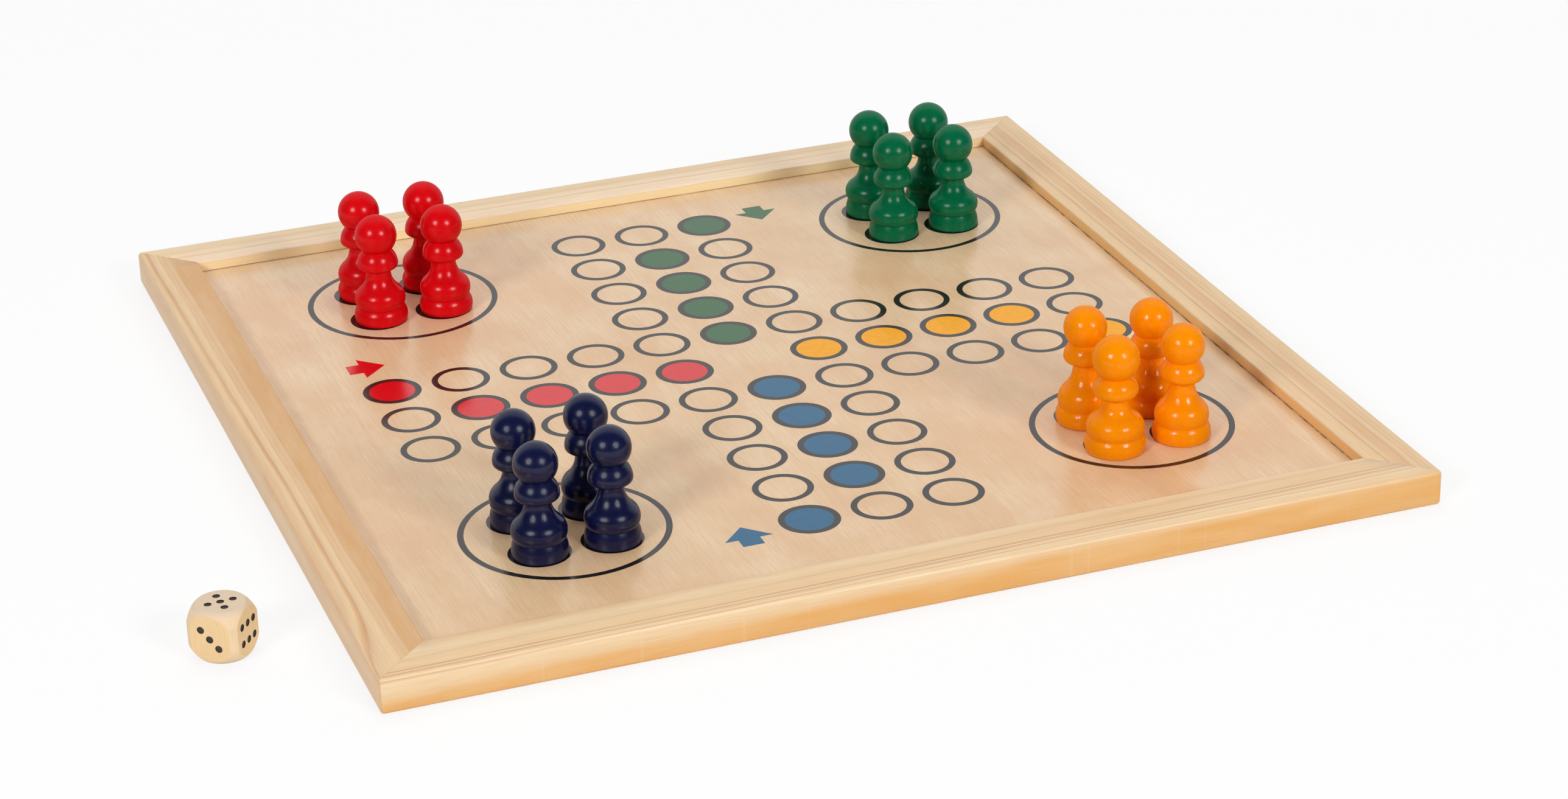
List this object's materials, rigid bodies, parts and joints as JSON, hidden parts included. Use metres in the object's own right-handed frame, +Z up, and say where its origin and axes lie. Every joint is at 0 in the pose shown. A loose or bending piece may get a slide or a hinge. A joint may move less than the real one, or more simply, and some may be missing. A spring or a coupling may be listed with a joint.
{
  "type": "framed ludo board set",
  "caption": "Framed wooden ludo board with a sunk playing face, turned pawns standing in its corner homes and a ball-cornered die lying beside it.",
  "frame": {"origin": "centre of the frame on the playing face, which is close to the centre of mass of the whole set", "axes": "+X along the front rail to the right, +Y towards the back rail, +Z up out of the playing face"},
  "size_m": [0.3946, 0.35, 0.0471],
  "materials": {
    "pine": "varnished",
    "veneer": "semi-gloss varnish",
    "red_lacquer": "gloss lacquer",
    "green_lacquer": "gloss lacquer",
    "blue_lacquer": "gloss lacquer",
    "orange_lacquer": "gloss lacquer",
    "die_wood": "smooth bare wood"
  },
  "bodies": {
    "board": {"rail_front": "pine", "rail_right": "pine", "rail_back": "pine", "rail_left": "pine", "playing_panel": "veneer"},
    "pawn_red_1": {"pawn_red_1": "red_lacquer"},
    "pawn_red_2": {"pawn_red_2": "red_lacquer"},
    "pawn_red_3": {"pawn_red_3": "red_lacquer"},
    "pawn_red_4": {"pawn_red_4": "red_lacquer"},
    "pawn_green_1": {"pawn_green_1": "green_lacquer"},
    "pawn_green_2": {"pawn_green_2": "green_lacquer"},
    "pawn_green_3": {"pawn_green_3": "green_lacquer"},
    "pawn_green_4": {"pawn_green_4": "green_lacquer"},
    "pawn_blue_1": {"pawn_blue_1": "blue_lacquer"},
    "pawn_blue_2": {"pawn_blue_2": "blue_lacquer"},
    "pawn_blue_3": {"pawn_blue_3": "blue_lacquer"},
    "pawn_blue_4": {"pawn_blue_4": "blue_lacquer"},
    "pawn_orange_1": {"pawn_orange_1": "orange_lacquer"},
    "pawn_orange_2": {"pawn_orange_2": "orange_lacquer"},
    "pawn_orange_3": {"pawn_orange_3": "orange_lacquer"},
    "pawn_orange_4": {"pawn_orange_4": "orange_lacquer"},
    "die": {"die": "die_wood"}
  },
  "joints": [
    {"name": "lift_pawn_red_1", "type": "slide", "parent": "board", "child": "pawn_red_1", "axis": [0, 0, 1], "range_m": [0, 0.06]},
    {"name": "lift_pawn_red_2", "type": "slide", "parent": "board", "child": "pawn_red_2", "axis": [0, 0, 1], "range_m": [0, 0.06]},
    {"name": "lift_pawn_red_3", "type": "slide", "parent": "board", "child": "pawn_red_3", "axis": [0, 0, 1], "range_m": [0, 0.06]},
    {"name": "lift_pawn_red_4", "type": "slide", "parent": "board", "child": "pawn_red_4", "axis": [0, 0, 1], "range_m": [0, 0.06]},
    {"name": "lift_pawn_green_1", "type": "slide", "parent": "board", "child": "pawn_green_1", "axis": [0, 0, 1], "range_m": [0, 0.06]},
    {"name": "lift_pawn_green_2", "type": "slide", "parent": "board", "child": "pawn_green_2", "axis": [0, 0, 1], "range_m": [0, 0.06]},
    {"name": "lift_pawn_green_3", "type": "slide", "parent": "board", "child": "pawn_green_3", "axis": [0, 0, 1], "range_m": [0, 0.06]},
    {"name": "lift_pawn_green_4", "type": "slide", "parent": "board", "child": "pawn_green_4", "axis": [0, 0, 1], "range_m": [0, 0.06]},
    {"name": "lift_pawn_blue_1", "type": "slide", "parent": "board", "child": "pawn_blue_1", "axis": [0, 0, 1], "range_m": [0, 0.06]},
    {"name": "lift_pawn_blue_2", "type": "slide", "parent": "board", "child": "pawn_blue_2", "axis": [0, 0, 1], "range_m": [0, 0.06]},
    {"name": "lift_pawn_blue_3", "type": "slide", "parent": "board", "child": "pawn_blue_3", "axis": [0, 0, 1], "range_m": [0, 0.06]},
    {"name": "lift_pawn_blue_4", "type": "slide", "parent": "board", "child": "pawn_blue_4", "axis": [0, 0, 1], "range_m": [0, 0.06]},
    {"name": "lift_pawn_orange_1", "type": "slide", "parent": "board", "child": "pawn_orange_1", "axis": [0, 0, 1], "range_m": [0, 0.06]},
    {"name": "lift_pawn_orange_2", "type": "slide", "parent": "board", "child": "pawn_orange_2", "axis": [0, 0, 1], "range_m": [0, 0.06]},
    {"name": "lift_pawn_orange_3", "type": "slide", "parent": "board", "child": "pawn_orange_3", "axis": [0, 0, 1], "range_m": [0, 0.06]},
    {"name": "lift_pawn_orange_4", "type": "slide", "parent": "board", "child": "pawn_orange_4", "axis": [0, 0, 1], "range_m": [0, 0.06]},
    {"name": "lift_die", "type": "slide", "parent": "board", "child": "die", "axis": [0, 0, 1], "range_m": [0, 0.06]}
  ]
}
